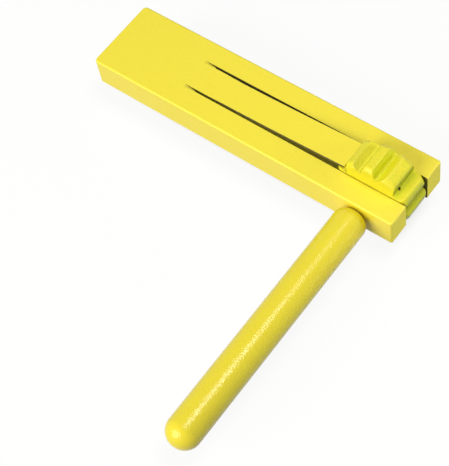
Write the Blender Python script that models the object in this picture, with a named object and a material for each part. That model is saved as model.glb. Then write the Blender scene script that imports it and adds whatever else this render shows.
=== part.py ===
"""Ratchet noisemaker: a forked wooden block that is whirled round a handle, with a sprung
tongue that clicks over a fluted wheel.

Metres, +Z up. The block lies along X with its fork towards +X, and the handle points towards -Y.
The origin is on the ground, under the middle of the whole object.
"""

import math

import bmesh
import bpy

# Block: a flat bar, forked at +X
BLOCK_LENGTH = 0.200
BLOCK_WIDTH = 0.0468
BLOCK_THICK = 0.0190
BLOCK_EDGE_ROUND = 0.0012
BLOCK_END_CORNER = 0.0026
SLOT_WIDTH = 0.0204
AXLE_FROM_FORK = 0.02235

# Channel that frees the tongue from below, cut by a round cutter that runs out at the underside
CHANNEL_CUTTER_RADIUS = 0.036
CHANNEL_LEVEL_RUN = 0.0085

# Tongue: the strip left between two saw cuts, bent up where it rests on the wheel
TONGUE_ROOT = 0.070
TONGUE_THICK = 0.0016
TONGUE_EDGE_ROUND = 0.0004
KERF = 0.0015
KERF_NARROWING = 0.0001
KERF_END = 0.054
KERF_OVERCUT = 0.0014
SAW_RADIUS = 0.100
TIP_SHORT = 0.0023

# Ratchet wheel: a turned blank with rounded shoulders, and V-shaped flutes cut across it
WHEEL_TEETH = 11
WHEEL_TIP_RADIUS = 0.0230
WHEEL_SHOULDER = 0.0030
WHEEL_SIDE_PLAY = 0.0004
FLUTE_DEPTH = 0.0046
FLUTE_LEAN = math.radians(37)
FLUTE_ROUND = 0.0016
TOOTH_EDGE_ROUND = 0.0008
WIDE_TOOTH_TURN = math.radians(7.2)
SEAT_ANGLE = math.radians(142.0)

# Axle and handle
AXLE_DIAMETER = 0.0095
AXLE_CHAMFER = 0.0006
AXLE_END_RECESS = 0.0004
HANDLE_DIAMETER = 0.0192
HANDLE_LENGTH = 0.155
HANDLE_TIP_DOME = 0.0092
HANDLE_SHOULDER_DOME = 0.0072
HANDLE_SOCKET_DEPTH = 0.030

# Pin that locks the wheel to the axle, sunk in one flute
PIN_DIAMETER = 0.0014
PIN_LENGTH = 0.0165
PIN_POINT = 0.0016
PIN_SUNK = 0.0006
PIN_OFF_CENTRE = 0.0039
PIN_FLUTE = 3

# Clearances
FIT_GAP = 0.0003
RUNNING_GAP = 0.0003

# Fineness of round shapes
ROUND_STEPS = 48
PIN_STEPS = 12
ARC_STEPS = 10
SAW_STEPS = 96
EDGE_STEPS = 2
FLUTE_STEPS = 3
CREST_STEPS = 3
LAND_STEPS = 1
SHOULDER_STEPS = 4
TONGUE_STATIONS = 20
EDGE_ANGLE = math.radians(50)
SEAM_MERGE = 0.00001
CUT_OVERRUN = 0.006

# What follows from those sizes
TOP = BLOCK_THICK / 2
FORK_X = BLOCK_LENGTH / 2
CLOSED_X = -FORK_X
AXLE_X = FORK_X - AXLE_FROM_FORK
SIDE = BLOCK_WIDTH / 2
SLOT_SIDE = SLOT_WIDTH / 2
TONGUE_SIDE = SLOT_SIDE - KERF
WHEEL_SIDE = SLOT_SIDE - WHEEL_SIDE_PLAY
ROOT_X = CLOSED_X + TONGUE_ROOT
KERF_DEPTH = TONGUE_THICK + KERF_OVERCUT
HANDLE_START = SIDE + RUNNING_GAP
HANDLE_END = HANDLE_START + HANDLE_LENGTH

# The flutes are stepped off from the seat, and the tooth after the pin takes up the turn left over
PITCH = (2 * math.pi - WIDE_TOOTH_TURN) / WHEEL_TEETH
PIN_STEP = WHEEL_TEETH - PIN_FLUTE
ROOT_RADIUS = WHEEL_TIP_RADIUS - FLUTE_DEPTH

# The tongue's tip, which stops a little short of the middle of the seat flute
TIP_X = AXLE_X + ROOT_RADIUS * math.cos(SEAT_ANGLE) - TIP_SHORT

# Where the middle of the block lies, so that the object stands on the ground under its own middle
BLOCK_Y = (HANDLE_END - SIDE) / 2


def crest_middle(tip_radius):
    """The middle of a crest's rounding, seen from its flute: it touches the flute's wall and the tips."""
    along = (math.cos(FLUTE_LEAN), math.sin(FLUTE_LEAN))
    back = FLUTE_ROUND + TOOTH_EDGE_ROUND
    foot = (ROOT_RADIUS + FLUTE_ROUND - back * along[1], back * along[0])
    start = foot[0] * along[0] + foot[1] * along[1]
    room = (tip_radius - TOOTH_EDGE_ROUND) ** 2 - foot[0] ** 2 - foot[1] ** 2
    step = math.sqrt(start**2 + room) - start
    return (foot[0] + step * along[0], foot[1] + step * along[1])


def crest_turn(tip_radius):
    """The angle from a flute's middle to where its crest meets the land."""
    crest = crest_middle(tip_radius)
    return math.atan2(crest[1], crest[0])


def flute_turns():
    """The turn of each flute from +X. Those past the wide tooth stand further round."""
    return [SEAT_ANGLE + PITCH * k + WIDE_TOOTH_TURN * (k > PIN_STEP) for k in range(WHEEL_TEETH)]


def lowest_tooth():
    """How far the wheel reaches below its axis: at the land or the crest that is nearest straight down."""
    lands = [turn + half for turn in flute_turns() for half in (-PITCH / 2, PITCH / 2)]
    turns = [abs(math.remainder(land + math.pi / 2, 2 * math.pi)) for land in lands]
    off_land = max(min(turns) - (PITCH / 2 - crest_turn(WHEEL_TIP_RADIUS)), 0.0)
    return (WHEEL_TIP_RADIUS - TOOTH_EDGE_ROUND) * math.cos(off_land) + TOOTH_EDGE_ROUND


def beam_bend(share):
    """The lift along a beam that is held at its root and pushed up at its tip, where the share is 1."""
    return (3 * share**2 - share**3) / 2


def tip_lift():
    """How far the wheel lifts the tongue's tip: the strip lies on the crest just behind the seat flute."""
    turn = SEAT_ANGLE + crest_turn(WHEEL_TIP_RADIUS)
    crest = WHEEL_TIP_RADIUS - TOOTH_EDGE_ROUND
    rest_x = AXLE_X + crest * math.cos(turn)
    rest_z = crest * math.sin(turn) + TOOTH_EDGE_ROUND + FIT_GAP
    share = (rest_x - ROOT_X) / (TIP_X - ROOT_X)
    return (rest_z + TONGUE_THICK - TOP) / beam_bend(share)


def arc_points(centre, radius, start, stop, steps):
    """Points on an arc, both ends included."""
    angles = [start + (stop - start) * k / steps for k in range(steps + 1)]
    return [(centre[0] + radius * math.cos(a), centre[1] + radius * math.sin(a)) for a in angles]


def clear_scene():
    for obj in list(bpy.data.objects):
        bpy.data.objects.remove(obj)


def finish(name, colour, roughness, metallic=0.0):
    """A Principled material for one piece."""
    material = bpy.data.materials.new(name)
    material.use_nodes = True
    shader = material.node_tree.nodes["Principled BSDF"]
    shader.inputs["Base Color"].default_value = (*colour, 1.0)
    shader.inputs["Roughness"].default_value = roughness
    shader.inputs["Metallic"].default_value = metallic
    return material


def empty(name, location, turn=0.0):
    """An axis or centre that pieces hang from, turned about X."""
    obj = bpy.data.objects.new(name, None)
    obj.empty_display_size = BLOCK_THICK
    obj.location = location
    obj.rotation_euler = (turn, 0.0, 0.0)
    bpy.context.collection.objects.link(obj)
    return obj


def add_object(name, mesh, parent, material=None):
    obj = bpy.data.objects.new(name, mesh)
    obj.parent = parent
    bpy.context.collection.objects.link(obj)
    if material is None:
        obj.hide_render = True
        obj.display_type = "WIRE"
    else:
        mesh.materials.append(material)
    return obj


def prism(name, outline, low, high, axis, parent, material=None):
    """A closed outline carried along Y or Z. On Y the outline's points are X and Z."""
    form = bmesh.new()
    if axis == "Z":
        ring = [form.verts.new((u, v, low)) for u, v in outline]
        reach = (0.0, 0.0, high - low)
    else:
        ring = [form.verts.new((u, low, v)) for u, v in outline]
        reach = (0.0, high - low, 0.0)
    face = form.faces.new(ring)
    grown = bmesh.ops.extrude_face_region(form, geom=[face])
    moved = [item for item in grown["geom"] if isinstance(item, bmesh.types.BMVert)]
    bmesh.ops.translate(form, vec=reach, verts=moved)
    bmesh.ops.recalc_face_normals(form, faces=form.faces)
    mesh = bpy.data.meshes.new(name)
    form.to_mesh(mesh)
    form.free()
    return add_object(name, mesh, parent, material)


def turned(name, profile, parent, material=None, steps=ROUND_STEPS):
    """A profile of (radius, height) points, top to bottom on its outer side, turned about Z."""
    mesh = bpy.data.meshes.new(name)
    edges = [(i, i + 1) for i in range(len(profile) - 1)]
    mesh.from_pydata([(r, 0.0, z) for r, z in profile], edges, [])
    obj = add_object(name, mesh, parent, material)
    screw = obj.modifiers.new("turn", "SCREW")
    screw.axis = "Z"
    screw.steps = steps
    screw.render_steps = steps
    screw.use_merge_vertices = True
    screw.merge_threshold = SEAM_MERGE
    screw.use_smooth_shade = True
    return obj


def cut(obj, cutter):
    """Cuts one piece by another, which stays as a wire guide."""
    boolean = obj.modifiers.new(cutter.name, "BOOLEAN")
    boolean.operation = "DIFFERENCE"
    boolean.solver = "EXACT"
    boolean.object = cutter


def round_edges(obj, width):
    bevel = obj.modifiers.new("rounded edges", "BEVEL")
    bevel.width = width
    bevel.segments = EDGE_STEPS
    bevel.limit_method = "ANGLE"
    bevel.angle_limit = EDGE_ANGLE
    bevel.harden_normals = False


def rod_cutter(name, radius, low, high, parent, steps=ROUND_STEPS):
    return turned(name, [(0.0, high), (radius, high), (radius, low), (0.0, low)], parent, None, steps)


def block_outline():
    """The block seen from above: square at the fork, with rounded corners at the closed end."""
    corner = BLOCK_END_CORNER
    inner = CLOSED_X + corner
    points = [(FORK_X, -SIDE), (FORK_X, SIDE)]
    points += arc_points((inner, SIDE - corner), corner, math.pi / 2, math.pi, ARC_STEPS // 2)
    points += arc_points((inner, corner - SIDE), corner, math.pi, 1.5 * math.pi, ARC_STEPS // 2)
    return points


def slot_outline():
    """The fork's slot and the channel under the tongue, seen from the side."""
    ceiling = TOP - TONGUE_THICK
    level_end = ROOT_X - CHANNEL_LEVEL_RUN
    centre = (level_end, ceiling - CHANNEL_CUTTER_RADIUS)
    below = -TOP - CUT_OVERRUN
    stop = math.pi - math.asin((below - centre[1]) / CHANNEL_CUTTER_RADIUS)
    points = [(FORK_X + CUT_OVERRUN, below), (FORK_X + CUT_OVERRUN, TOP + CUT_OVERRUN)]
    points += [(ROOT_X, TOP + CUT_OVERRUN), (ROOT_X, ceiling)]
    return points + arc_points(centre, CHANNEL_CUTTER_RADIUS, math.pi / 2, stop, ARC_STEPS)


def make_block(centre, axis, material):
    block = prism("frame_block", block_outline(), -TOP, TOP, "Z", centre, material)
    round_edges(block, BLOCK_EDGE_ROUND)
    cut(block, prism("slot_cutter", slot_outline(), -SLOT_SIDE, SLOT_SIDE, "Y", centre))
    run_out = math.sqrt(SAW_RADIUS**2 - (SAW_RADIUS - KERF_DEPTH) ** 2)
    saw_x = CLOSED_X + KERF_END + run_out
    saw_z = TOP + SAW_RADIUS - KERF_DEPTH
    for side in (-1, 1):
        edges = (side * (TONGUE_SIDE + KERF_NARROWING), side * (SLOT_SIDE - KERF_NARROWING))
        disc = arc_points((saw_x, saw_z), SAW_RADIUS, 0.0, 2 * math.pi, SAW_STEPS)[:-1]
        name = "near_saw_cutter" if side < 0 else "far_saw_cutter"
        cut(block, prism(name, disc, min(edges), max(edges), "Y", centre))
    reach = SIDE + CUT_OVERRUN
    cut(block, rod_cutter("axle_bore_cutter", AXLE_DIAMETER / 2 + RUNNING_GAP, -reach, reach, axis))
    return block


def make_tongue(flex_axis, material):
    """A strip whose free end is pushed up by the wheel: it bends as a beam held at its root."""
    length = TIP_X - ROOT_X
    top_lift = tip_lift()
    form = bmesh.new()
    last = None
    for k in range(TONGUE_STATIONS + 1):
        x = FIT_GAP + (length - FIT_GAP) * k / TONGUE_STATIONS
        lift = top_lift * beam_bend(x / length)
        low = lift - TONGUE_THICK / 2
        high = lift + TONGUE_THICK / 2
        corners = [(-TONGUE_SIDE, low), (TONGUE_SIDE, low), (TONGUE_SIDE, high), (-TONGUE_SIDE, high)]
        ring = [form.verts.new((x, y, z)) for y, z in corners]
        if last is None:
            form.faces.new(ring)
        else:
            for i in range(4):
                form.faces.new((last[i], last[(i + 1) % 4], ring[(i + 1) % 4], ring[i]))
        last = ring
    form.faces.new(last)
    bmesh.ops.recalc_face_normals(form, faces=form.faces)
    mesh = bpy.data.meshes.new("tongue")
    form.to_mesh(mesh)
    form.free()
    tongue = add_object("tongue", mesh, flex_axis, material)
    round_edges(tongue, TONGUE_EDGE_ROUND)
    return tongue


def turned_points(points, turn):
    """Points turned about the axle."""
    cos, sin = math.cos(turn), math.sin(turn)
    return [(x * cos - y * sin, x * sin + y * cos) for x, y in points]


def wheel_outline(tip_radius):
    """The fluted outline. Half a flute is its round bottom, a straight wall, the crest and half a land."""
    turn = crest_turn(tip_radius)
    bottom = (ROOT_RADIUS + FLUTE_ROUND, 0.0)
    half = arc_points(bottom, FLUTE_ROUND, math.pi, math.pi / 2 + FLUTE_LEAN, FLUTE_STEPS)
    crest = crest_middle(tip_radius)
    half += arc_points(crest, TOOTH_EDGE_ROUND, FLUTE_LEAN - math.pi / 2, turn, CREST_STEPS)
    half += arc_points((0.0, 0.0), tip_radius, turn, PITCH / 2, LAND_STEPS)[1:]
    mirrored = [(x, -y) for x, y in reversed(half)]
    points = []
    for k, turn in enumerate(flute_turns()):
        start = 0 if k == PIN_STEP + 1 else 1
        points += turned_points(mirrored[start:] + half[1:], turn)
    return points


def make_wheel(axis, material):
    """The fluted outline carried across the slot, lower at the blank's rounded shoulders, and a bore."""
    bends = [math.pi / 2 * k / SHOULDER_STEPS for k in range(SHOULDER_STEPS + 1)]
    heights = [WHEEL_SIDE - WHEEL_SHOULDER * (1 - math.sin(b)) for b in bends]
    tips = [WHEEL_TIP_RADIUS - WHEEL_SHOULDER * (1 - math.cos(b)) for b in bends]
    levels = [(-z, tip) for z, tip in zip(heights[::-1], tips[::-1])] + list(zip(heights, tips))
    form = bmesh.new()
    rings = [[form.verts.new((x, y, z)) for x, y in wheel_outline(tip)] for z, tip in levels]
    bore = AXLE_DIAMETER / 2 + FIT_GAP
    bore_rings = []
    for end in (-1, 0):
        outline = rings[end]
        scale = [bore / v.co.xy.length for v in outline]
        bore_rings.append([form.verts.new((v.co.x * s, v.co.y * s, v.co.z)) for v, s in zip(outline, scale)])
    rings += bore_rings
    count = len(rings[0])
    for i, ring in enumerate(rings):
        following = rings[(i + 1) % len(rings)]
        for k in range(count):
            j = (k + 1) % count
            form.faces.new((ring[k], ring[j], following[j], following[k]))
    bmesh.ops.recalc_face_normals(form, faces=form.faces)
    mesh = bpy.data.meshes.new("ratchet_wheel")
    form.to_mesh(mesh)
    form.free()
    mesh.shade_smooth()
    mesh.set_sharp_from_angle(angle=EDGE_ANGLE)
    return add_object("ratchet_wheel", mesh, axis, material)


def make_axle(axis, material):
    radius = AXLE_DIAMETER / 2
    top = HANDLE_START + HANDLE_SOCKET_DEPTH - FIT_GAP
    low = AXLE_END_RECESS - SIDE
    slim = radius - AXLE_CHAMFER
    profile = [(0.0, top), (slim, top), (radius, top - AXLE_CHAMFER)]
    profile += [(radius, low + AXLE_CHAMFER), (slim, low), (0.0, low)]
    return turned("axle", profile, axis, material)


def make_handle(axis, material):
    """A round bar, domed at both ends, drilled at the block's end for the axle."""
    radius = HANDLE_DIAMETER / 2
    socket = AXLE_DIAMETER / 2 + FIT_GAP
    mouth = math.asin(socket / radius)
    tip = HANDLE_END - HANDLE_TIP_DOME
    shoulder = HANDLE_START + HANDLE_SHOULDER_DOME * math.cos(mouth)
    quarter = [math.pi / 2 * k / ARC_STEPS for k in range(ARC_STEPS + 1)]
    profile = [(radius * math.sin(a), tip + HANDLE_TIP_DOME * math.cos(a)) for a in quarter]
    dome = [math.pi / 2 + (mouth - math.pi / 2) * k / ARC_STEPS for k in range(ARC_STEPS + 1)]
    profile += [(radius * math.sin(a), shoulder - HANDLE_SHOULDER_DOME * math.cos(a)) for a in dome]
    bottom = HANDLE_START + HANDLE_SOCKET_DEPTH
    return turned("handle", profile + [(socket, bottom), (0.0, bottom)], axis, material)


def make_pin(axis, material):
    """A sunk pin, driven towards the axis at the bottom of its flute. Returns its hole."""
    head = ROOT_RADIUS - PIN_SUNK
    radius = PIN_DIAMETER / 2
    point = head - PIN_LENGTH
    line = empty("pin_line", (0.0, 0.0, PIN_OFF_CENTRE))
    line.parent = axis
    line.rotation_euler = (0.0, math.pi / 2, flute_turns()[PIN_STEP])
    profile = [(0.0, head), (radius, head), (radius, point + PIN_POINT), (0.0, point)]
    turned("wheel_pin", profile, line, material, PIN_STEPS)
    reach = WHEEL_TIP_RADIUS + CUT_OVERRUN
    return rod_cutter("pin_hole_cutter", radius + FIT_GAP, point - FIT_GAP, reach, line, PIN_STEPS)


def main():
    clear_scene()
    block_z = lowest_tooth()
    yellow_block = finish("yellow_block_paint", (0.91, 0.72, 0.035), 0.32)
    yellow_tongue = finish("yellow_tongue_paint", (0.91, 0.72, 0.035), 0.32)
    yellow_wheel = finish("yellow_wheel_paint", (0.88, 0.70, 0.03), 0.45)
    yellow_handle = finish("yellow_handle_paint", (0.90, 0.70, 0.03), 0.22)
    bare_wood = finish("bare_beech", (0.62, 0.43, 0.24), 0.65)
    dark_steel = finish("dark_pin_steel", (0.09, 0.085, 0.08), 0.45, 1.0)

    centre = empty("block_centre", (0.0, BLOCK_Y, block_z))
    spin_axis = empty("spin_axis", (AXLE_X, BLOCK_Y, block_z), math.pi / 2)
    flex_axis = empty("flex_axis", (ROOT_X, BLOCK_Y, block_z + TOP - TONGUE_THICK / 2))

    make_block(centre, spin_axis, yellow_block)
    make_tongue(flex_axis, yellow_tongue)
    wheel = make_wheel(spin_axis, yellow_wheel)
    axle = make_axle(spin_axis, bare_wood)
    make_handle(spin_axis, yellow_handle)
    pin_hole = make_pin(spin_axis, dark_steel)
    cut(wheel, pin_hole)
    cut(axle, pin_hole)


main()
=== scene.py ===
"""Looks of a painted wooden ratchet noisemaker, built round its packed frame.

Metres, +Z up, in the frame's own axes: the block lies along X with its fork towards +X, and the
handle points towards -Y. Every piece is worked out where it lies, so its object stays at the origin.
"""

import bmesh
import bpy
import numpy as np
from bpy.props import FloatProperty, FloatVectorProperty, IntProperty, PointerProperty
from bpy.types import Operator, Panel, PropertyGroup
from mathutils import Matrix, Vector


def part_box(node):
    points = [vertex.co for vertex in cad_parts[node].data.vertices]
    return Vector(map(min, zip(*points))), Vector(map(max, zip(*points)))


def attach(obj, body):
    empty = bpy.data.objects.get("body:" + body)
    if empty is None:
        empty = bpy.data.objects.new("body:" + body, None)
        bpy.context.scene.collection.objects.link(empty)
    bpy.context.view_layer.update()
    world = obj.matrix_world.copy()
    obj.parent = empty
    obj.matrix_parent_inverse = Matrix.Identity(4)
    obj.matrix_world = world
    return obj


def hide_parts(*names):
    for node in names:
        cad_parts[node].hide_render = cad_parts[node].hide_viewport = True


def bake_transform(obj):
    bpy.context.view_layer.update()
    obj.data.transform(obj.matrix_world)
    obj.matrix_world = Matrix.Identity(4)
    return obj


bl_info = {
    "name": "Ratchet noisemaker looks",
    "version": (1, 0, 0),
    "blender": (4, 5, 0),
    "location": "3D View > Sidebar > Noisemaker",
    "description": "Dresses the packed frame of a ratchet noisemaker in painted wood",
    "category": "Object",
}

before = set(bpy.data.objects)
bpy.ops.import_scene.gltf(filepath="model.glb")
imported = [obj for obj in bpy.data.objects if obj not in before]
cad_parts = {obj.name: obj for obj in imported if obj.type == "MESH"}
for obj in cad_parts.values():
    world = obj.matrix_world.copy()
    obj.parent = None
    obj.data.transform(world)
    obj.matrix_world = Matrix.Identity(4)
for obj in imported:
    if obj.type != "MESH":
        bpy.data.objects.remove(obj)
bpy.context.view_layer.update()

# Places that the frame gives
BLOCK_LOW, BLOCK_HIGH = (np.array(corner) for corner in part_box("frame_block"))
TONGUE_LOW, TONGUE_HIGH = (np.array(corner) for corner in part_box("tongue"))
WHEEL_LOW, WHEEL_HIGH = (np.array(corner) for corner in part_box("ratchet_wheel"))
AXLE_LOW, AXLE_HIGH = (np.array(corner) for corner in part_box("axle"))
HANDLE_LOW, HANDLE_HIGH = (np.array(corner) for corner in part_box("handle"))
PIN_LOW, PIN_HIGH = (np.array(corner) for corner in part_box("wheel_pin"))
BLOCK_MIDDLE = (BLOCK_LOW + BLOCK_HIGH) / 2
AXLE_MIDDLE = (AXLE_LOW + AXLE_HIGH) / 2
PIN_MIDDLE = (PIN_LOW + PIN_HIGH) / 2
AXLE_RADIUS = (AXLE_HIGH[0] - AXLE_LOW[0]) / 2
HANDLE_RADIUS = (HANDLE_HIGH[0] - HANDLE_LOW[0]) / 2
TONGUE_SIDE = (TONGUE_HIGH[1] - TONGUE_LOW[1]) / 2

# How far a cutter reaches past what it cuts
OVERRUN = 0.006
# How far from a surface a mask still counts a point as on it
MARGIN = 0.001
# Run over which the painted shade in the cuts gives way to paint
CUT_SHADE_FADE = 0.003
# The least radius of a rounding, and how close points are when they are joined
LEAST_RADIUS = 1e-5
WELD = 1e-7


def length(name, description, default):
    """A size in metres."""
    return FloatProperty(name=name, description=description, default=default, unit="LENGTH", precision=5)


def angle(name, description, degrees):
    """An angle, given in degrees and kept in radians."""
    return FloatProperty(name=name, description=description, default=np.radians(degrees), subtype="ANGLE")


def share(name, description, default):
    """A value from 0 to 1."""
    return FloatProperty(name=name, description=description, default=default, min=0.0, max=1.0)


def watts(name, description, default):
    """A lamp's power."""
    return FloatProperty(name=name, description=description, default=default, min=0.0, unit="POWER")


def colour(name, description, default):
    """A linear colour."""
    return FloatVectorProperty(name=name, description=description, default=default, subtype="COLOR",
                               min=0.0, max=1.0)


class BlockLook(PropertyGroup):
    """Sizes of the forked block"""

    edge_round: length("Edge rounding", "Radius of the block's long edges", 0.0012)
    end_corner: length("End corners", "Radius of the upright corners at the closed end", 0.0026)
    fork_corner: length("Fork corners", "Radius of the upright corners at the fork", 0.0013)
    kerf: length("Saw cut", "Width of each saw cut beside the tongue", 0.0015)
    kerf_end: length("Saw cut end", "From the closed end to where the saw cuts run out", 0.054)
    kerf_depth: length("Saw cut depth", "Depth of the saw below the face", 0.0030)
    saw_radius: length("Saw radius", "Radius of the saw, seen where the cuts run out", 0.100)
    channel_radius: length("Channel cutter", "Radius that the channel under the tongue runs out in", 0.036)
    channel_run: length("Channel run", "Level run of the channel behind the tongue's root", 0.0085)
    bore_gap: length("Bore gap", "Gap round the axle in the fork's arms", 0.0003)


class TongueLook(PropertyGroup):
    """Sizes of the sprung tongue"""

    thick: length("Thickness", "Thickness of the strip", 0.0016)
    root_gap: length("Root gap", "Gap to close between the strip and the block", 0.0003)
    edge_round: length("Edge rounding", "Radius of the strip's edges past its root", 0.0005)
    edge_run: length("Edge run", "Length over which the edges grow round", 0.012)
    bend_run: length("Bend run", "Length from the root over which the strip bends", 0.070)


class WheelLook(PropertyGroup):
    """Sizes of the fluted wheel"""

    teeth: IntProperty(name="Teeth", description="Teeth round the wheel", default=11, min=5)
    tip_radius: length("Tip radius", "Radius over the teeth", 0.0230)
    shoulder: length("Shoulder", "Radius of the turned blank's shoulders", 0.0030)
    flute_depth: length("Flute depth", "Depth of a flute below the teeth", 0.0046)
    flute_lean: angle("Flute lean", "Lean of a flute's walls from the line through its middle", 37.0)
    flute_round: length("Flute bottom", "Radius of a flute's round bottom", 0.0016)
    edge_round: length("Tooth rounding", "Radius between a tooth's land and its flanks", 0.0011)
    worn_round: length("Worn rounding", "The same radius at the worn edge above the pin", 0.0034)
    seat: angle("Seat", "Turn of the flute that the tongue sits in, from +X to +Z", 142.0)
    wide_turn: angle("Wide tooth", "How much wider the tooth after the pin is than the others", 7.2)
    pin_step: IntProperty(name="Pin flute", description="Steps from the seat to the flute with the pin",
                          default=8)
    pin_hole: length("Pin hole", "Radius of the sunk pin's hole", 0.0010)


class HandleLook(PropertyGroup):
    """Sizes of the handle and its axle"""

    tip_dome: length("Tip dome", "Height of the dome at the free end", 0.0092)
    shoulder_dome: length("Shoulder dome", "Height of the dome at the block", 0.0072)
    socket_gap: length("Socket gap", "Gap round the axle in the handle", 0.0003)
    axle_chamfer: length("Axle chamfer", "Chamfer at the axle's ends", 0.0006)


class PaintLook(PropertyGroup):
    """Colours of the finishes"""

    paint: colour("Paint", "Yellow paint on the planed faces", (0.92, 0.775, 0.047))
    paint_thin: colour("Thin paint", "The same paint where it lies thinner", (0.87, 0.725, 0.042))
    wheel_paint: colour("Wheel paint", "The same paint on the wheel's teeth", (0.88, 0.75, 0.026))
    wheel_thin: colour("Thin wheel paint", "The same paint where it lies thinner", (0.86, 0.72, 0.030))
    handle_paint: colour("Handle paint", "Slightly deeper yellow on the handle", (0.83, 0.695, 0.022))
    handle_thin: colour("Thin handle paint", "The same paint where it lies thinner", (0.82, 0.67, 0.026))
    # Painted shade: an olive that darkens the flutes and the faces along X, also used for the pores' specks
    flute_paint: colour("Flute paint", "Paint that gathered in the wheel's flutes", (0.69, 0.70, 0.004))
    # Painted shade: a dark olive for the flute bottoms, a crease line at the foot of the flute beside the
    # tongue's, and the rim level with the axle
    drunk_paint: colour("Drunk paint", "Paint that the wheel's end grain drank in", (0.42, 0.44, 0.004))
    # Partly painted light: paler soaked paint, made lighter still to make up for the light the fork's end
    # faces lack
    end_grain: colour("End grain", "Paint soaked into the arms' end grain", (0.97, 0.87, 0.11))
    # Painted shade: a near-black colour for the shade in the saw cuts and in the slot beside the wheel
    sawn_wood: colour("Sawn wood", "Scorched wood in the saw cuts", (0.11, 0.09, 0.013))
    bare_wood: colour("Bare wood", "Unpainted beech", (0.60, 0.42, 0.24))
    wood_line: colour("Wood line", "Darker growth lines of the beech", (0.42, 0.26, 0.13))
    steel: colour("Pin steel", "Dark steel of the pin", (0.05, 0.047, 0.044))


class StageLook(PropertyGroup):
    """Camera, floor and lights"""

    camera_place: FloatVectorProperty(name="Camera place", description="Where the camera stands",
                                      default=(0.3106, -0.24755, 0.6376), subtype="XYZ", unit="LENGTH")
    camera_turn: FloatVectorProperty(name="Camera turn", description="How the camera is turned",
                                     default=np.radians((31.20, 6.71, 37.09)), subtype="EULER")
    camera_lens: FloatProperty(name="Lens", description="Focal length in millimetres", default=107.17)
    ambient: FloatProperty(name="Ambient light", description="Light from all round", default=0.22)
    ambient_tint: colour("Ambient tint", "Cool tint of the light from all round", (0.76, 1.0, 0.95))
    lamp_tint: colour("Lamp tint", "Warm tint of the lamps", (1.0, 0.94, 0.88))
    front_lamp: watts("Front lamp", "Power of the lamp at the front left", 50.0)
    spark_lamp: watts("Spark lamp", "Power of the lamp overhead, which the gloss shows", 5.8)
    back_lamp: watts("Back lamp", "Power of the beam on the fork, which the gloss doesn't show", 0.053)
    floor_grey: share("Floor grey", "How much light the floor throws back", 0.20)
    channel_shade: colour("Channel shade", "The floor seen through the saw cuts", (0.30, 0.27, 0.04))
    floor_shadow: share("Floor shadow", "How much of the shadow the floor shows", 0.10)


def arc(centre, radius, start, stop, steps):
    """Points on a circle as complex numbers: centre plus radius turned from start to stop."""
    return centre + radius * np.exp(1j * np.linspace(start, stop, steps + 1))


def grid_faces(rows, columns, closed_rows=False):
    """Quads between each point of a grid and its neighbours in the next row and column, where the
    columns always close on themselves and the rows do if asked."""
    row, column = np.meshgrid(np.arange(rows if closed_rows else rows - 1), np.arange(columns), indexing="ij")
    row_after = (row + 1) % rows
    column_after = (column + 1) % columns
    corners = [row * columns + column, row * columns + column_after,
               row_after * columns + column_after, row_after * columns + column]
    return np.stack(corners, axis=-1).reshape(-1, 4)


def new_piece(name, rings, closed_rows=False, caps=True, smooth_angle=40.0):
    """A closed mesh from rings of points, row by row. Open rows get a flat cap at each end."""
    rows, columns = rings.shape[:2]
    faces = grid_faces(rows, columns, closed_rows).tolist()
    if caps and not closed_rows:
        faces.append(list(range(columns)))
        faces.append(list(range((rows - 1) * columns, rows * columns)))
    mesh = bpy.data.meshes.new(name)
    mesh.from_pydata(rings.reshape(-1, 3).tolist(), [], faces)
    form = bmesh.new()
    form.from_mesh(mesh)
    bmesh.ops.remove_doubles(form, verts=form.verts, dist=WELD)
    bmesh.ops.recalc_face_normals(form, faces=form.faces)
    form.to_mesh(mesh)
    form.free()
    mesh.shade_smooth()
    mesh.set_sharp_from_angle(angle=np.radians(smooth_angle))
    piece = bpy.data.objects.new(name, mesh)
    bpy.context.scene.collection.objects.link(piece)
    return piece


def prism(name, outline, low, high):
    """A side outline of complex points (X and Z), carried across from low to high in Y."""
    edge = np.stack([outline.real, np.zeros(len(outline)), outline.imag], axis=-1)
    return new_piece(name, np.stack([edge + [0.0, low, 0.0], edge + [0.0, high, 0.0]]))


def turned(name, profile, steps):
    """A surface of revolution about the axle: the profile's complex points give Y and the radius."""
    around = np.exp(1j * np.linspace(0.0, 2 * np.pi, steps, endpoint=False))
    spread = profile.imag[:, None] * around[None, :]
    along = np.broadcast_to(profile.real[:, None], spread.shape)
    rings = np.stack([AXLE_MIDDLE[0] + spread.real, along, AXLE_MIDDLE[2] + spread.imag], axis=-1)
    return new_piece(name, rings, caps=False)


def carve(piece, cutters, smooth_angle=40.0):
    """Cuts each cutter out of the piece, and keeps the result as the piece's own mesh."""
    for cutter in cutters:
        modifier = piece.modifiers.new(cutter.name, "BOOLEAN")
        modifier.operation = "DIFFERENCE"
        modifier.solver = "EXACT"
        modifier.object = cutter
    shown = piece.evaluated_get(bpy.context.evaluated_depsgraph_get())
    mesh = bpy.data.meshes.new_from_object(shown)
    whole = piece.data
    piece.modifiers.clear()
    piece.data = mesh
    bpy.data.meshes.remove(whole)
    mesh.name = piece.name
    for cutter in cutters:
        bpy.data.objects.remove(cutter)
    mesh.shade_smooth()
    mesh.set_sharp_from_angle(angle=np.radians(smooth_angle))


def keep_flats_flat(piece):
    """Lets each large flat face set the normals at its edges, so that only the roundings shade round."""
    modifier = piece.modifiers.new("flat faces", "WEIGHTED_NORMAL")
    modifier.keep_sharp = True
    modifier.weight = 100


def vectors_of(mesh, kind):
    """The places or normals of all points or faces of a mesh, as one array."""
    source = mesh.vertices if kind == "co" else mesh.polygons
    values = np.empty(len(source) * 3, np.float32)
    source.foreach_get(kind, values)
    return values.reshape(-1, 3)


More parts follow.
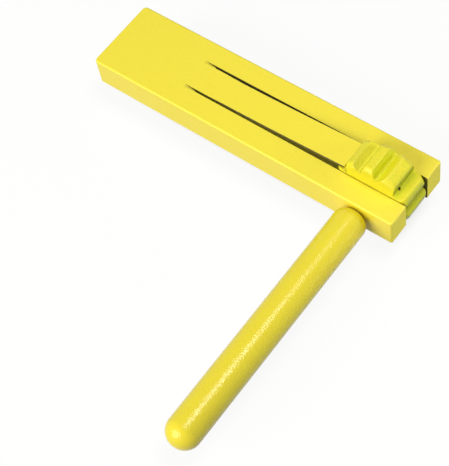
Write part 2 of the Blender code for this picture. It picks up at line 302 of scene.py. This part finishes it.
def ramp(values, low, high):
    """0 up to low, 1 from high on, and straight in between."""
    return np.clip((values - low) / (high - low), 0.0, 1.0)


def set_mask(mesh, name, domain, values):
    """Stores one value from 0 to 1 for each point or face."""
    mask = mesh.attributes.new(name, "FLOAT", domain)
    mask.data.foreach_set("value", np.clip(values, 0.0, 1.0).astype(np.float32))


def dress(piece, material, slot, *nodes):
    """Gives a piece its material, and lets it stand for its nodes."""
    piece.data.materials.clear()
    piece.data.materials.append(material)
    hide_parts(*nodes)


class NodeBench:
    """Adds nodes to one tree, and joins them by name."""

    def __init__(self, tree):
        self.tree = tree

    def add(self, kind, inputs=None, **settings):
        node = self.tree.nodes.new(kind)
        for key, value in settings.items():
            setattr(node, key, value)
        for key, value in (inputs or {}).items():
            if isinstance(value, bpy.types.NodeSocket):
                self.tree.links.new(value, node.inputs[key])
            else:
                node.inputs[key].default_value = value
        return node

    def noise(self, vector, scale, detail=2.0, roughness=0.5):
        inputs = {"Vector": vector, "Scale": scale, "Detail": detail, "Roughness": roughness}
        return self.add("ShaderNodeTexNoise", inputs).outputs["Fac"]

    def math(self, operation, first, second):
        return self.add("ShaderNodeMath", {0: first, 1: second}, operation=operation).outputs[0]

    def spread(self, value, low, high, new_low=0.0, new_high=1.0):
        """Maps low and high to the new ones, and stops there."""
        inputs = {"Value": value, "From Min": low, "From Max": high, "To Min": new_low, "To Max": new_high}
        return self.add("ShaderNodeMapRange", inputs).outputs["Result"]

    def mix(self, amount, first, second):
        """Mixes two colours, whose sockets are the node's seventh and eighth."""
        return self.add("ShaderNodeMix", {0: amount, 6: first, 7: second}, data_type="RGBA").outputs[2]


def node_group(name, inputs, outputs):
    """An empty shader group with named value sockets, and a vector to read."""
    group = bpy.data.node_groups.new(name, "ShaderNodeTree")
    group.interface.new_socket("Vector", in_out="INPUT", socket_type="NodeSocketVector")
    for socket in inputs:
        group.interface.new_socket(socket, in_out="INPUT", socket_type="NodeSocketFloat")
    for socket in outputs:
        group.interface.new_socket(socket, in_out="OUTPUT", socket_type="NodeSocketFloat")
    return group, group.nodes.new("NodeGroupInput").outputs, group.nodes.new("NodeGroupOutput").inputs


def paint_film():
    """Orange peel of sprayed paint, and the soft blotches where it lies thicker or thinner."""
    if "paint_film" in bpy.data.node_groups:
        return bpy.data.node_groups["paint_film"]
    group, given, put = node_group("paint_film", ("Peel Scale", "Blotch Scale"), ("Peel", "Blotch"))
    bench = NodeBench(group)
    peel = bench.noise(given["Vector"], given["Peel Scale"], 1.5, 0.45)
    blotch = bench.spread(bench.noise(given["Vector"], given["Blotch Scale"], 3.0), 0.35, 0.7)
    group.links.new(peel, put["Peel"])
    group.links.new(blotch, put["Blotch"])
    return group


def wood_fibre():
    """Fibres that show through the paint: noise drawn out along the grain, which runs along X."""
    if "wood_fibre" in bpy.data.node_groups:
        return bpy.data.node_groups["wood_fibre"]
    group, given, put = node_group("wood_fibre", ("Along", "Across"), ("Fibre", "Pores"))
    bench = NodeBench(group)
    scales = {"X": given["Along"], "Y": given["Across"], "Z": given["Across"]}
    stretch = bench.add("ShaderNodeCombineXYZ", scales).outputs[0]
    drawn = bench.add("ShaderNodeVectorMath", {0: given["Vector"], 1: stretch}, operation="MULTIPLY")
    fibre = bench.noise(drawn.outputs[0], 1.0, 3.0, 0.6)
    pores = bench.spread(bench.noise(given["Vector"], given["Across"], 3.0, 0.7), 0.42, 0.62)
    group.links.new(fibre, put["Fibre"])
    group.links.new(pores, put["Pores"])
    return group


def new_material(name):
    """A material with a Principled shader, its node bench and the piece's own coordinates."""
    material = bpy.data.materials.new(name)
    material.use_nodes = True
    bench = NodeBench(material.node_tree)
    shader = material.node_tree.nodes["Principled BSDF"]
    place = bench.add("ShaderNodeTexCoord").outputs["Object"]
    return material, bench, shader, place


def use_group(bench, group, vector, **values):
    """Places a group in a material, with its own values."""
    node = bench.add("ShaderNodeGroup", node_tree=group)
    bench.tree.links.new(vector, node.inputs["Vector"])
    for key, value in values.items():
        node.inputs[key.replace("_", " ")].default_value = value
    return node.outputs


def wire(bench, shader, tint, rough, height):
    """Joins a colour, a roughness and a bump, whose height is in metres, to a shader."""
    bump = bench.add("ShaderNodeBump", {"Height": height, "Distance": 1.0, "Strength": 1.0}).outputs[0]
    for socket, value in (("Base Color", tint), ("Roughness", rough), ("Normal", bump)):
        bench.tree.links.new(value, shader.inputs[socket])


def mask_of(bench, name):
    """Reads a mask that set_mask stored."""
    return bench.add("ShaderNodeAttribute", attribute_name=name).outputs["Fac"]


def solid(values):
    """A colour with full alpha."""
    return (*values, 1.0)


def planed_paint(look):
    """Glossy yellow paint on planed wood, with paler soaked paint on the arms' end grain, made lighter there
    to stand in for light, and painted shade, near black, in the cuts beside the tongue and the wheel."""
    material, bench, shader, place = new_material("planed_paint")
    film = use_group(bench, paint_film(), place, Peel_Scale=900.0, Blotch_Scale=45.0)
    wood = use_group(bench, wood_fibre(), place, Along=30.0, Across=700.0)
    end = mask_of(bench, "end_grain")
    speck = bench.math("MAXIMUM", bench.math("MULTIPLY", wood["Pores"], 0.6),
                       bench.math("MULTIPLY", film["Blotch"], 0.3))
    base = bench.mix(speck, solid(look.paint), solid(look.paint_thin))
    # Partly painted light: the fork's end faces take the paler soaked colour, made lighter to stand in for
    # light
    soaked_and_lit = bench.mix(bench.math("MULTIPLY", wood["Pores"], 0.5), solid(look.end_grain), solid(look.paint))
    part = bench.add("ShaderNodeSeparateXYZ", {"Vector": place}).outputs
    # Painted shade: the saw cuts' walls near the top, and the slot's walls beside the wheel, turn near black
    shallow = bench.spread(part["Z"], BLOCK_HIGH[2] - 2 * CUT_SHADE_FADE, BLOCK_HIGH[2] - CUT_SHADE_FADE)
    beside = bench.spread(part["X"], WHEEL_LOW[0], WHEEL_LOW[0] + CUT_SHADE_FADE)
    sawn = bench.math("MULTIPLY", mask_of(bench, "sawn"), bench.math("MAXIMUM", shallow, beside))
    tint = bench.mix(sawn, bench.mix(end, base, soaked_and_lit), solid(look.sawn_wood))
    gloss = bench.spread(film["Blotch"], 0.0, 1.0, 0.36, 0.44)
    dull = bench.math("MULTIPLY", bench.math("MAXIMUM", end, sawn), 0.35)
    rough = bench.math("ADD", gloss, dull)
    height = bench.math("ADD", bench.math("MULTIPLY", film["Peel"], 0.00002),
                        bench.math("MULTIPLY", wood["Fibre"], 0.000025))
    wire(bench, shader, tint, rough, height)
    return material


def fluted_paint(look):
    """Rougher paint on turned wood, grainy on the lands. Painted shade: olive in the flutes, the more so
    towards the fork, and on faces that face along X; darkest at the flute bottoms, in a crease line beside
    the tongue's flute and on the rim level with the axle."""
    material, bench, shader, place = new_material("fluted_paint")
    film = use_group(bench, paint_film(), place, Peel_Scale=1300.0, Blotch_Scale=160.0)
    wood = use_group(bench, wood_fibre(), place, Along=700.0, Across=900.0)
    flute = mask_of(bench, "flute")
    base = bench.mix(film["Blotch"], solid(look.wheel_paint), solid(look.wheel_thin))
    speck = bench.math("MULTIPLY", wood["Pores"], 0.75)
    end = mask_of(bench, "end_grain")
    # Painted shade: olive deep in the flutes, more towards the fork, and on faces that face along X
    shade_olive = bench.math("MAXIMUM", end, bench.spread(flute, 0.0, 0.77))
    darkened = bench.mix(bench.math("MAXIMUM", shade_olive, speck), base, solid(look.flute_paint))
    # Painted shade: darkest at the flute bottoms, at the crease line and on faces square to X
    bottom_shade = bench.math("MAXIMUM", bench.spread(flute, 0.65, 0.9, 0.0, 0.6), mask_of(bench, "dirt"))
    dark = bench.math("MAXIMUM", bench.spread(end, 0.9, 1.0), bottom_shade)
    tint = bench.mix(dark, darkened, solid(look.drunk_paint))
    gloss = bench.spread(film["Blotch"], 0.0, 1.0, 0.30, 0.40)
    rough = bench.math("ADD", gloss, bench.math("MULTIPLY", flute, 0.25))
    height = bench.math("ADD", bench.math("MULTIPLY", film["Peel"], 0.00008),
                        bench.math("MULTIPLY", wood["Pores"], 0.00006))
    wire(bench, shader, tint, rough, height)
    return material


def turned_paint(look):
    """The glossiest paint, with an orange peel that breaks up its highlights."""
    material, bench, shader, place = new_material("turned_paint")
    film = use_group(bench, paint_film(), place, Peel_Scale=1250.0, Blotch_Scale=60.0)
    base = bench.mix(film["Blotch"], solid(look.handle_paint), solid(look.handle_thin))
    gloss = bench.spread(film["Blotch"], 0.0, 1.0, 0.15, 0.21)
    shader.inputs["Specular IOR Level"].default_value = 0.40
    wire(bench, shader, base, gloss, bench.math("MULTIPLY", film["Peel"], 0.00016))
    return material


def dowel_beech(look):
    """Unpainted dowel: growth rings about the axle, and fibres along it."""
    material, bench, shader, place = new_material("dowel_beech")
    centred = bench.add("ShaderNodeMapping", {"Vector": place, "Location": tuple(-AXLE_MIDDLE)})
    wave = bench.add("ShaderNodeTexWave", {"Vector": centred.outputs[0], "Scale": 420.0, "Distortion": 3.0,
                                           "Detail": 2.0}, wave_type="RINGS", rings_direction="Y")
    wood = use_group(bench, wood_fibre(), place, Along=800.0, Across=800.0)
    lines = bench.math("MULTIPLY", wave.outputs["Fac"], 0.6)
    tint = bench.mix(bench.math("MAXIMUM", lines, bench.math("MULTIPLY", wood["Pores"], 0.4)),
                     solid(look.bare_wood), solid(look.wood_line))
    rough = bench.spread(wood["Fibre"], 0.3, 0.7, 0.55, 0.75)
    wire(bench, shader, tint, rough, bench.math("MULTIPLY", wood["Fibre"], 0.00004))
    return material


def drawn_steel(look):
    """Dark drawn steel with faint drawing marks."""
    material, bench, shader, place = new_material("drawn_steel")
    marks = bench.noise(place, 2500.0, 2.0)
    dark = tuple(value * 0.6 for value in look.steel)
    bench.tree.links.new(bench.mix(marks, solid(look.steel), solid(dark)), shader.inputs["Base Color"])
    bench.tree.links.new(bench.spread(marks, 0.3, 0.7, 0.35, 0.55), shader.inputs["Roughness"])
    shader.inputs["Metallic"].default_value = 1.0
    return material


def shared_material(maker, look):
    """Makes a material the first time that it is asked for."""
    return bpy.data.materials.get(maker.__name__) or maker(look)


class NOISEMAKER_OT_block(Operator):
    """Make the forked block, with its slot, channel, saw cuts and axle holes"""

    bl_idname = "noisemaker.block"
    bl_label = "Block"

    PLAN_STEPS = 6
    EDGE_STEPS = 5
    CHANNEL_STEPS = 24
    SAW_STEPS = 120
    BORE_STEPS = 64

    def rings(self, look):
        """The plan, a rectangle with quarter-circle corners, raised through the block's height and
        drawn in by radius times (1 - cosine) where the height rounds off as radius times (1 - sine)."""
        low, high = BLOCK_LOW[:2], BLOCK_HIGH[:2]
        signs = np.array([(1, -1), (1, 1), (-1, 1), (-1, -1)])
        radii = np.where(signs[:, 0] > 0, look.fork_corner, look.end_corner)
        turns = np.radians([-90.0, 0.0, 90.0, 180.0])
        sweep = np.linspace(0.0, np.pi / 2, self.PLAN_STEPS + 1)
        bends = np.linspace(0.0, np.pi / 2, self.EDGE_STEPS + 1)
        inset = look.edge_round * (1 - np.cos(bends))
        drop = look.edge_round * (1 - np.sin(bends))
        insets = np.concatenate([inset[::-1], inset])
        heights = np.concatenate([BLOCK_LOW[2] + drop[::-1], BLOCK_HIGH[2] - drop])
        corner = np.where(signs > 0, high, low) - signs * radii[:, None]
        angles = turns[:, None] + sweep
        reach = np.maximum(radii[None, :, None] - insets[:, None, None], LEAST_RADIUS)
        x = corner[None, :, None, 0] + reach * np.cos(angles)
        y = corner[None, :, None, 1] + reach * np.sin(angles)
        z = np.broadcast_to(heights[:, None, None], x.shape)
        return np.stack([x, y, z], axis=-1).reshape(len(heights), -1, 3)

    def slot_outline(self, look, thick, root):
        """The slot seen from the side: full height past the root, and behind it a level ceiling that
        runs out at the underside as an arc."""
        top, bottom = BLOCK_HIGH[2] + OVERRUN, BLOCK_LOW[2] - OVERRUN
        ceiling = BLOCK_HIGH[2] - thick
        far = BLOCK_HIGH[0] + OVERRUN
        centre = root - look.channel_run + 1j * (ceiling - look.channel_radius)
        stop = np.pi - np.arcsin((bottom - centre.imag) / look.channel_radius)
        corners = [far + 1j * bottom, far + 1j * top, root + 1j * top, root + 1j * ceiling]
        run_out = arc(centre, look.channel_radius, np.pi / 2, stop, self.CHANNEL_STEPS)
        return np.concatenate([corners, run_out])

    def execute(self, context):
        look = context.scene.noisemaker_block
        strip = context.scene.noisemaker_tongue
        middle = BLOCK_MIDDLE[1]
        root = TONGUE_LOW[0] - strip.root_gap
        slot_side = TONGUE_SIDE + look.kerf
        block = new_piece("painted_block", self.rings(look))
        outline = self.slot_outline(look, strip.thick, root)
        cutters = [prism("slot_cutter", outline, middle - slot_side, middle + slot_side)]
        run_out = np.sqrt(look.saw_radius**2 - (look.saw_radius - look.kerf_depth) ** 2)
        saw_height = BLOCK_HIGH[2] + look.saw_radius - look.kerf_depth
        saw = BLOCK_LOW[0] + look.kerf_end + run_out + 1j * saw_height
        disc = arc(saw, look.saw_radius, 0.0, 2 * np.pi, self.SAW_STEPS)[:-1]
        cutters.append(prism("near_saw", disc, middle - slot_side, middle - TONGUE_SIDE))
        cutters.append(prism("far_saw", disc, middle + TONGUE_SIDE, middle + slot_side))
        near, far = BLOCK_LOW[1] - OVERRUN, BLOCK_HIGH[1] + OVERRUN
        bore = 1j * (AXLE_RADIUS + look.bore_gap)
        cutters.append(turned("axle_bore", np.array([near, near + bore, far + bore, far]), self.BORE_STEPS))
        carve(block, cutters)
        normals = vectors_of(block.data, "normal")
        places = vectors_of(block.data, "center")
        # Partly painted light: faces towards +X at the fork are marked for the paler, lighter end colour
        at_fork = places[:, 0] > BLOCK_HIGH[0] - look.edge_round
        set_mask(block.data, "end_grain", "FACE", at_fork * ramp(normals[:, 0], 0.3, 0.9))
        # Painted shade: the slot's upright walls are marked to take the near-black cut colour
        in_cut = np.abs(places[:, 1] - middle) < slot_side + MARGIN
        set_mask(block.data, "sawn", "FACE", in_cut * ramp(np.abs(normals[:, 1]), 0.5, 0.9))
        keep_flats_flat(block)
        paint = context.scene.noisemaker_paint
        dress(block, shared_material(planed_paint, paint), "block_paint", "frame_block")
        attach(block, "frame")
        return {"FINISHED"}


class NOISEMAKER_OT_tongue(Operator):
    """Make the sprung tongue, bent up where the wheel lifts it"""

    bl_idname = "noisemaker.tongue"
    bl_label = "Tongue"

    STATIONS = 64
    CORNER_STEPS = 4
    END_STEPS = 4

    def execute(self, context):
        look = context.scene.noisemaker_tongue
        root = TONGUE_LOW[0] - look.root_gap
        tip = TONGUE_HIGH[0]
        lift = TONGUE_HIGH[2] - TONGUE_LOW[2] - look.thick
        bends = np.linspace(0.0, np.pi / 2, self.END_STEPS + 1)
        stations = np.linspace(root, tip - look.edge_round, self.STATIONS)
        x = np.concatenate([stations, tip - look.edge_round * (1 - np.sin(bends[1:]))])
        inset = np.concatenate([np.zeros(self.STATIONS), look.edge_round * (1 - np.cos(bends[1:]))])
        along = (x - root) / (tip - root)
        rise = lift * (3 * along**2 - along**3) / 2
        grown = np.clip((x - root) / look.edge_run, 0.0, 1.0)
        radius = np.maximum(look.edge_round * grown - inset, LEAST_RADIUS)
        quarter = np.linspace(0.0, np.pi / 2, self.CORNER_STEPS + 1)
        turn = (np.arange(4)[:, None] * np.pi / 2 + quarter).ravel()
        sides = np.repeat(np.array([(1, 1), (-1, 1), (-1, -1), (1, -1)]), self.CORNER_STEPS + 1, axis=0)
        half_y = (TONGUE_SIDE - inset - radius)[:, None] * sides[:, 0]
        half_z = (look.thick / 2 - inset - radius)[:, None] * sides[:, 1]
        y = BLOCK_MIDDLE[1] + half_y + radius[:, None] * np.cos(turn)
        z = BLOCK_HIGH[2] - look.thick / 2 + rise[:, None] + half_z + radius[:, None] * np.sin(turn)
        rings = np.stack([np.broadcast_to(x[:, None], y.shape), y, z], axis=-1)
        tongue = new_piece("sprung_tongue", rings)
        across = np.abs(vectors_of(tongue.data, "normal")[:, 1])
        # Painted shade: the strip's sides, which face the saw cuts, take the near-black cut colour
        set_mask(tongue.data, "sawn", "FACE", ramp(across, 0.25, 0.55))
        keep_flats_flat(tongue)
        paint = context.scene.noisemaker_paint
        dress(tongue, shared_material(planed_paint, paint), "tongue_paint", "tongue")
        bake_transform(tongue)
        return {"FINISHED"}


class NOISEMAKER_OT_wheel(Operator):
    """Make the fluted wheel, with its bore and the sunk pin's hole, and finish the pin"""

    bl_idname = "noisemaker.wheel"
    bl_label = "Wheel and pin"

    FLUTE_STEPS = 6
    CREST_STEPS = 5
    LAND_STEPS = 3
    SHOULDER_STEPS = 9
    HOLE_STEPS = 24
    # Angles over which the painted crease shade sets in, and at which it ends, on one side of a flute's
    # middle
    DIRT_START, DIRT_END = np.radians((1.0, 5.0))
    # Cosines of the turn from X between which the painted shade on the rim sets in, and how dark it gets
    # there
    GRAIN_START, GRAIN_FULL = 0.93, 0.96
    GRAIN_SHADE = 0.96

    def pitch(self, look):
        """The turn from one flute to the next, apart from the wide tooth."""
        return (2 * np.pi - look.wide_turn) / look.teeth

    def half_flute(self, look, tip, edge, pitch):
        """Half a flute where the blank's radius is tip: the round bottom, a straight wall, the crest's
        rounding, whose radius is edge and which touches the wall and the tip circle, and half a land."""
        wall = np.exp(1j * look.flute_lean)
        bottom = look.tip_radius - look.flute_depth + look.flute_round
        foot = bottom + 1j * wall * (look.flute_round + edge)
        start = (foot * np.conj(wall)).real
        crest = foot + wall * (np.sqrt(start**2 + (tip - edge) ** 2 - abs(foot) ** 2) - start)
        return np.concatenate([
            arc(bottom, look.flute_round, np.pi, np.pi / 2 + look.flute_lean, self.FLUTE_STEPS),
            arc(crest, edge, look.flute_lean - np.pi / 2, np.angle(crest), self.CREST_STEPS),
            arc(0.0, tip, np.angle(crest), pitch / 2, self.LAND_STEPS)[1:]])

    def rim(self, look, tip):
        """The rim at one height of the blank: half a flute and its mirror image are turned round the
        wheel, once for each flute, and the flutes past the wide tooth stand further round. The worn
        edge fades out over the blank's shoulders."""
        pitch = self.pitch(look)
        plain = self.half_flute(look, tip, look.edge_round, pitch)
        fade = (look.tip_radius - tip) / look.shoulder
        worn = look.worn_round + (look.edge_round - look.worn_round) * fade
        step = np.arange(look.teeth)
        rising = np.tile(plain, (look.teeth, 1))
        rising[look.pin_step] = self.half_flute(look, tip, worn, pitch)
        falling = np.tile(np.conj(plain[:0:-1]), (look.teeth, 1))
        turns = look.seat + pitch * step + look.wide_turn * (step > look.pin_step)
        return (np.exp(1j * turns)[:, None] * np.concatenate([falling, rising], axis=1)).ravel()

    def execute(self, context):
        look = context.scene.noisemaker_wheel
        bends = np.linspace(0.0, np.pi / 2, self.SHOULDER_STEPS + 1)
        tip = look.tip_radius - look.shoulder * (1 - np.cos(bends))
        drop = look.shoulder * (1 - np.sin(bends))
        tips = np.concatenate([tip[::-1], tip])
        along = np.concatenate([WHEEL_LOW[1] + drop[::-1], WHEEL_HIGH[1] - drop])
        rims = np.stack([self.rim(look, value) for value in tips])
        bore = AXLE_RADIUS * rims[[-1, 0]] / np.abs(rims[[-1, 0]])
        rims = np.concatenate([rims, bore])
        along = np.concatenate([along, [WHEEL_HIGH[1], WHEEL_LOW[1]]])
        y = np.broadcast_to(along[:, None], rims.shape)
        rings = np.stack([AXLE_MIDDLE[0] + rims.real, y, AXLE_MIDDLE[2] + rims.imag], axis=-1)
        wheel = new_piece("fluted_wheel", rings, closed_rows=True)
        lean = np.angle(PIN_MIDDLE[0] - AXLE_MIDDLE[0] + 1j * (PIN_MIDDLE[2] - AXLE_MIDDLE[2]))
        carve(wheel, [self.pin_drill(look, lean)], smooth_angle=50.0)
        places = vectors_of(wheel.data, "co") - AXLE_MIDDLE
        blank = np.interp(places[:, 1] + AXLE_MIDDLE[1], along[:-2], tips)
        self.mask_paint(look, wheel.data, places[:, 0] + 1j * places[:, 2], blank)
        keep_flats_flat(wheel)
        paint = context.scene.noisemaker_paint
        dress(wheel, shared_material(fluted_paint, paint), "wheel_paint", "ratchet_wheel")
        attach(wheel, "handle")
        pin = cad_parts["wheel_pin"]
        pin.data.materials.clear()
        pin.data.materials.append(shared_material(drawn_steel, paint))
        return {"FINISHED"}

    def mask_paint(self, look, mesh, places, blank):
        """Marks how deep each point lies in a flute, weighted towards the fork, for the painted shade and
        rougher paint there; a painted crease shade at the foot of the flute beside the tongue's; and the
        faces that face along X, with the rim level with the axle, for more painted shade. The points are
        complex (X and Z from the axle), and blank is the blank's radius at each."""
        radius = np.abs(places)
        deep = np.where(radius > AXLE_RADIUS + MARGIN, (blank - radius) / look.flute_depth, 0.0)
        set_mask(mesh, "flute", "POINT", deep * (1 + places.real / radius) / 2)
        # Painted shade: a dark crease line at the foot of the flute beside the tongue's
        off = look.seat - self.pitch(look) - np.angle(places)
        at_foot = (off < self.DIRT_END) & (deep > 0.5)
        set_mask(mesh, "dirt", "POINT", at_foot * ramp(off, 0.0, self.DIRT_START))
        normals = np.abs(vectors_of(mesh, "normal"))
        centres = vectors_of(mesh, "center") - AXLE_MIDDLE
        # Painted shade: rim faces level with the axle darken
        facing = np.abs(centres[:, 0]) / np.hypot(centres[:, 0], centres[:, 2])
        on_rim = normals[:, 1] < 0.5
        side_shade = on_rim * self.GRAIN_SHADE * ramp(facing, self.GRAIN_START, self.GRAIN_FULL)
        set_mask(mesh, "end_grain", "FACE", np.maximum(ramp(normals[:, 0], 0.5, 0.95), side_shade))

    def pin_drill(self, look, lean):
        """A round drill along the pin's line, which runs straight out from the axle."""
        around = look.pin_hole * np.exp(1j * np.linspace(0.0, 2 * np.pi, self.HOLE_STEPS, endpoint=False))
        out = np.array([np.cos(lean), 0.0, np.sin(lean)])
        across = np.array([-np.sin(lean), 0.0, np.cos(lean)])
        ring = np.outer(around.real, across) + np.outer(around.imag, [0.0, 1.0, 0.0])
        foot = np.array([AXLE_MIDDLE[0], PIN_MIDDLE[1], AXLE_MIDDLE[2]])
        ends = [AXLE_RADIUS + 1.5 * MARGIN, look.tip_radius + OVERRUN]
        return new_piece("pin_drill", np.stack([foot + out * reach + ring for reach in ends]))


class NOISEMAKER_OT_handle(Operator):
    """Make the domed handle and the axle that it turns"""

    bl_idname = "noisemaker.handle"
    bl_label = "Handle and axle"

    ROUND_STEPS = 96
    DOME_STEPS = 24
    LENGTH_STEPS = 40

    def execute(self, context):
        look = context.scene.noisemaker_handle
        paint = context.scene.noisemaker_paint
        socket = AXLE_RADIUS + look.socket_gap
        mouth = np.arcsin(socket / HANDLE_RADIUS)
        tip, start = HANDLE_LOW[1], HANDLE_HIGH[1]
        dome = np.linspace(0.0, np.pi / 2, self.DOME_STEPS)
        neck = np.linspace(np.pi / 2, mouth, self.DOME_STEPS)
        shoulder = start - look.shoulder_dome * np.cos(mouth)
        bar = np.linspace(tip + look.tip_dome, shoulder, self.LENGTH_STEPS)
        floor = AXLE_LOW[1] - look.socket_gap
        profile = np.concatenate([
            tip + look.tip_dome * (1 - np.cos(dome)) + 1j * HANDLE_RADIUS * np.sin(dome),
            bar[1:-1] + 1j * HANDLE_RADIUS,
            shoulder + look.shoulder_dome * np.cos(neck) + 1j * HANDLE_RADIUS * np.sin(neck),
            [floor + 1j * socket, floor]])
        handle = turned("turned_handle", profile, self.ROUND_STEPS)
        dress(handle, shared_material(turned_paint, paint), "handle_paint", "handle")
        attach(handle, "handle")
        slim = AXLE_RADIUS - look.axle_chamfer
        low, high, cut = AXLE_LOW[1], AXLE_HIGH[1], look.axle_chamfer
        profile = np.array([low, low + 1j * slim, low + cut + 1j * AXLE_RADIUS,
                            high - cut + 1j * AXLE_RADIUS, high + 1j * slim, high])
        axle = turned("dowel_axle", profile, self.ROUND_STEPS)
        dress(axle, shared_material(dowel_beech, paint), "bare_beech", "axle")
        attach(axle, "handle")
        return {"FINISHED"}


class NOISEMAKER_OT_stage(Operator):
    """Set up the white floor, the lights and the camera"""

    bl_idname = "noisemaker.stage"
    bl_label = "Stage"

    FLOOR_REACH = 3.0
    FLOOR_WHITE = 0.95
    # Distances from the block's middle, along it and across it, over which the shade under it fades
    SHADE_FADES = ((0.060, 0.100), (0.009, 0.018))
    # Distances from the object over which the floor's shadow fades
    SHADOW_FADE = (0.3, 0.7)
    # Name, place, aim, width and beam in degrees
    LAMPS = (("front_lamp", (-0.472, -1.870, 1.046), (0.078, 0.0, 0.023), 1.8, 180.0),
             ("spark_lamp", (0.26, 0.203, 1.16), (0.078, 0.0, 0.023), 0.42, 180.0),
             ("back_lamp", (0.40, 0.25, 0.09), (0.100, 0.072, 0.022), 0.2, 45.0))

    def white_seen(self, bench):
        """A mask of the rays that see the background: those of the camera, of gloss and of glass."""
        path = bench.add("ShaderNodeLightPath").outputs
        seen = bench.math("MAXIMUM", path["Is Camera Ray"], path["Is Glossy Ray"])
        return bench.math("MAXIMUM", seen, path["Is Transmission Ray"])

    def floor(self, look):
        reach = self.FLOOR_REACH
        mesh = bpy.data.meshes.new("floor")
        corners = [(-reach, -reach, 0.0), (reach, -reach, 0.0), (reach, reach, 0.0), (-reach, reach, 0.0)]
        mesh.from_pydata(corners, [], [(0, 1, 2, 3)])
        floor = bpy.data.objects.new("floor", mesh)
        bpy.context.scene.collection.objects.link(floor)
        material = bpy.data.materials.new("floor_white")
        material.use_nodes = True
        tree = material.node_tree
        tree.nodes.clear()
        bench = NodeBench(tree)
        seen = self.white_seen(bench)
        place = bench.add("ShaderNodeTexCoord").outputs["Object"]
        part = bench.add("ShaderNodeSeparateXYZ", {"Vector": place}).outputs
        near = []
        for axis, fade in enumerate(self.SHADE_FADES):
            aside = bench.math("ABSOLUTE", bench.math("SUBTRACT", part[axis], BLOCK_MIDDLE[axis]), 0.0)
            near.append(bench.spread(aside, *fade, 1.0, 0.0))
        under = bench.math("MULTIPLY", *near)
        white = bench.mix(under, solid([self.FLOOR_WHITE] * 3), solid(look.channel_shade))
        tone = bench.mix(seen, solid([look.floor_grey] * 3), white)
        matt = bench.add("ShaderNodeBsdfDiffuse", {"Color": tone})
        glow = bench.add("ShaderNodeEmission")
        away = bench.add("ShaderNodeVectorMath", {0: place}, operation="LENGTH").outputs["Value"]
        open_floor = bench.spread(away, *self.SHADOW_FADE, 1.0 - look.floor_shadow, 1.0)
        clear = bench.math("MULTIPLY", open_floor, bench.math("SUBTRACT", 1.0, under))
        amount = bench.math("MULTIPLY", seen, clear)
        both = bench.add("ShaderNodeMixShader", {0: amount, 1: matt.outputs[0], 2: glow.outputs[0]})
        bench.add("ShaderNodeOutputMaterial", {"Surface": both.outputs[0]})
        mesh.materials.append(material)

    def world(self, look):
        world = bpy.data.worlds.new("studio")
        world.use_nodes = True
        bpy.context.scene.world = world
        tree = world.node_tree
        bench = NodeBench(tree)
        sky = tree.nodes["Background"]
        seen = self.white_seen(bench)
        tree.links.new(bench.mix(seen, solid(look.ambient_tint), solid([1.0] * 3)), sky.inputs["Color"])
        tree.links.new(bench.spread(seen, 0.0, 1.0, look.ambient, 1.0), sky.inputs["Strength"])

    def lamp(self, look, name, place, aim, size, beam):
        data = bpy.data.lights.new(name, "AREA")
        data.shape = "DISK"
        data.size = size
        data.spread = np.radians(beam)
        data.color = look.lamp_tint
        data.energy = getattr(look, name)
        lamp = bpy.data.objects.new(name, data)
        lamp.location = place
        lamp.rotation_euler = (Vector(aim) - lamp.location).to_track_quat("-Z", "Y").to_euler()
        lamp.visible_glossy = name != "back_lamp"
        bpy.context.scene.collection.objects.link(lamp)

    def execute(self, context):
        look = context.scene.noisemaker_stage
        self.floor(look)
        self.world(look)
        for lamp in self.LAMPS:
            self.lamp(look, *lamp)
        data = bpy.data.cameras.new("photo_camera")
        data.sensor_width = 36.0
        data.lens = look.camera_lens
        camera = bpy.data.objects.new("photo_camera", data)
        camera.location = look.camera_place
        camera.rotation_euler = look.camera_turn
        context.scene.collection.objects.link(camera)
        context.scene.camera = camera
        context.scene.view_settings.view_transform = "Standard"
        return {"FINISHED"}


class NOISEMAKER_PT_sidebar(Panel):
    """Lists the pieces of the noisemaker and their sizes"""

    bl_idname = "NOISEMAKER_PT_sidebar"
    bl_label = "Ratchet noisemaker"
    bl_space_type = "VIEW_3D"
    bl_region_type = "UI"
    bl_category = "Noisemaker"

    def draw(self, context):
        for operator in OPERATORS:
            self.layout.operator(operator.bl_idname)
        for name, group in LOOKS.items():
            box = self.layout.box()
            box.label(text=group.__doc__)
            for field in group.__annotations__:
                box.prop(getattr(context.scene, name), field)


LOOKS = {
    "noisemaker_block": BlockLook,
    "noisemaker_tongue": TongueLook,
    "noisemaker_wheel": WheelLook,
    "noisemaker_handle": HandleLook,
    "noisemaker_paint": PaintLook,
    "noisemaker_stage": StageLook,
}
OPERATORS = (NOISEMAKER_OT_block, NOISEMAKER_OT_tongue, NOISEMAKER_OT_wheel, NOISEMAKER_OT_handle,
             NOISEMAKER_OT_stage)


def register():
    for kind in (*LOOKS.values(), *OPERATORS, NOISEMAKER_PT_sidebar):
        bpy.utils.register_class(kind)
    for name, group in LOOKS.items():
        setattr(bpy.types.Scene, name, PointerProperty(type=group))


def unregister():
    for name in LOOKS:
        delattr(bpy.types.Scene, name)
    for kind in (NOISEMAKER_PT_sidebar, *reversed(OPERATORS), *reversed(LOOKS.values())):
        bpy.utils.unregister_class(kind)


def main():
    register()
    bpy.ops.noisemaker.block()
    bpy.ops.noisemaker.tongue()
    bpy.ops.noisemaker.wheel()
    bpy.ops.noisemaker.handle()
    bpy.ops.noisemaker.stage()


if __name__ == "__main__":
    main()
